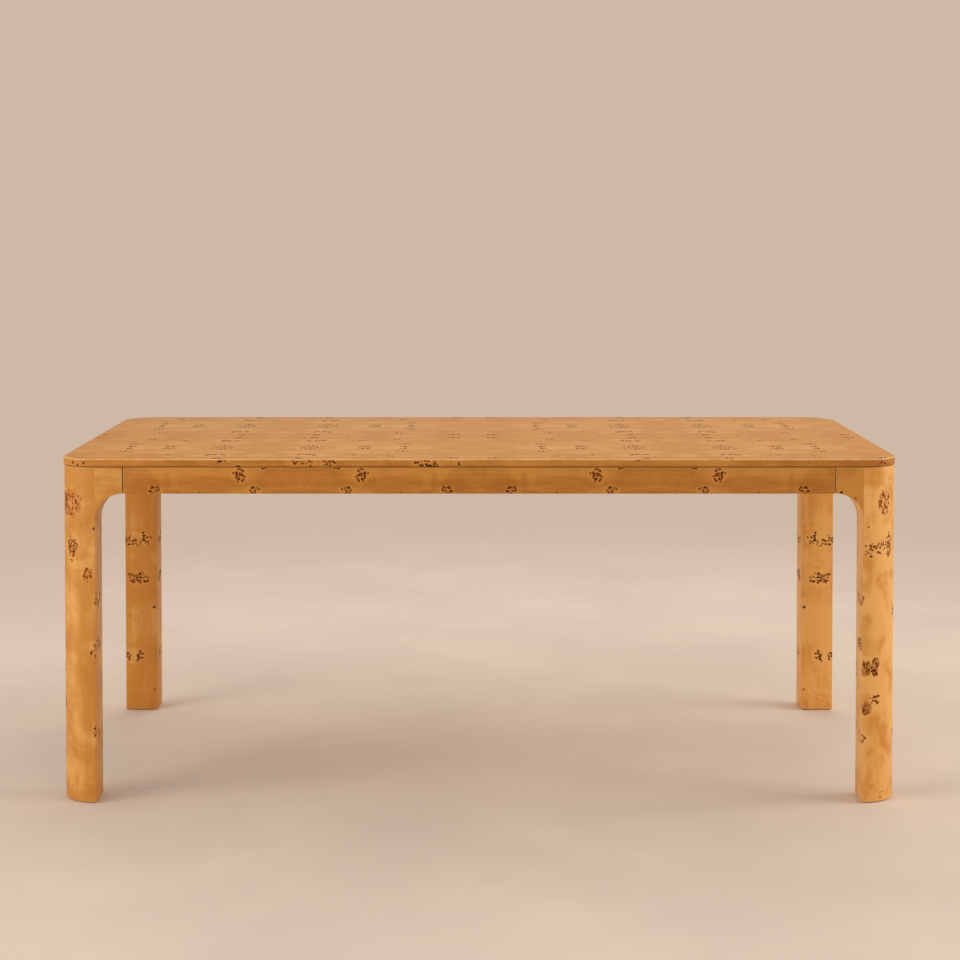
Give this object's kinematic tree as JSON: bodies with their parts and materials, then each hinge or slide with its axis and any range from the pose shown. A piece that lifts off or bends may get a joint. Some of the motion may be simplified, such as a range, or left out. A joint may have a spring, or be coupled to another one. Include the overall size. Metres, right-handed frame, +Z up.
{
  "type": "parsons dining table",
  "caption": "Rectangular dining table with a thin round-cornered slab top on a shadow gap, flush aprons and quarter-round legs that sweep into them in concave knees.",
  "frame": {"origin": "on the floor, under the middle of the top", "axes": "+X along the table to the right, +Y from the front to the rear, +Z up"},
  "size_m": [1.83, 0.915, 0.752],
  "materials": {
    "burl_veneer": "satin lacquered burl veneer, honey coloured with dark pin knots",
    "board_core": "raw fibreboard",
    "backing_veneer": "plain sealed veneer",
    "dark_spacer": "black stained, matte",
    "frame_wood": "planed hardwood, sealed",
    "dowel_wood": "turned beech",
    "zinc_steel": "zinc plated",
    "foot_nylon": "moulded, fine texture"
  },
  "bodies": {
    "table": {"apron_dowels": "dowel_wood", "brace_screws": "zinc_steel", "front_apron": "burl_veneer", "front_left_corner_brace": "frame_wood", "front_left_end_knee": "burl_veneer", "front_left_leg_post": "burl_veneer", "front_left_long_knee": "burl_veneer", "front_left_reveal_corner": "dark_spacer", "front_reveal_strip": "dark_spacer", "front_right_corner_brace": "frame_wood", "front_right_end_knee": "burl_veneer", "front_right_leg_post": "burl_veneer", "front_right_long_knee": "burl_veneer", "front_right_reveal_corner": "dark_spacer", "front_top_cleats": "frame_wood", "knee_dowels": "dowel_wood", "left_apron": "burl_veneer", "left_cross_rail": "frame_wood", "left_reveal_strip": "dark_spacer", "left_top_cleats": "frame_wood", "leg_bolt_inserts": "zinc_steel", "leg_bolt_washers": "zinc_steel", "leg_bolts": "zinc_steel", "levelling_inserts": "zinc_steel", "middle_cross_rail": "frame_wood", "rail_dowels": "dowel_wood", "rear_apron": "burl_veneer", "rear_left_corner_brace": "frame_wood", "rear_left_end_knee": "burl_veneer", "rear_left_leg_post": "burl_veneer", "rear_left_long_knee": "burl_veneer", "rear_left_reveal_corner": "dark_spacer", "rear_reveal_strip": "dark_spacer", "rear_right_corner_brace": "frame_wood", "rear_right_end_knee": "burl_veneer", "rear_right_leg_post": "burl_veneer", "rear_right_long_knee": "burl_veneer", "rear_right_reveal_corner": "dark_spacer", "rear_top_cleats": "frame_wood", "right_apron": "burl_veneer", "right_cross_rail": "frame_wood", "right_reveal_strip": "dark_spacer", "right_top_cleats": "frame_wood", "top_backing_veneer": "backing_veneer", "top_core": "board_core", "top_edge_band": "burl_veneer", "top_face_veneer": "burl_veneer", "top_screws": "zinc_steel"},
    "front_left_foot": {"front_left_levelling_pad": "foot_nylon", "front_left_levelling_stud": "zinc_steel"},
    "front_right_foot": {"front_right_levelling_pad": "foot_nylon", "front_right_levelling_stud": "zinc_steel"},
    "rear_left_foot": {"rear_left_levelling_pad": "foot_nylon", "rear_left_levelling_stud": "zinc_steel"},
    "rear_right_foot": {"rear_right_levelling_pad": "foot_nylon", "rear_right_levelling_stud": "zinc_steel"}
  },
  "joints": [
    {"name": "front_left_foot_screw", "type": "slide", "parent": "table", "child": "front_left_foot", "axis": [0, 0, -1], "range_m": [0, 0.012]},
    {"name": "front_right_foot_screw", "type": "slide", "parent": "table", "child": "front_right_foot", "axis": [0, 0, -1], "range_m": [0, 0.012]},
    {"name": "rear_left_foot_screw", "type": "slide", "parent": "table", "child": "rear_left_foot", "axis": [0, 0, -1], "range_m": [0, 0.012]},
    {"name": "rear_right_foot_screw", "type": "slide", "parent": "table", "child": "rear_right_foot", "axis": [0, 0, -1], "range_m": [0, 0.012]}
  ]
}
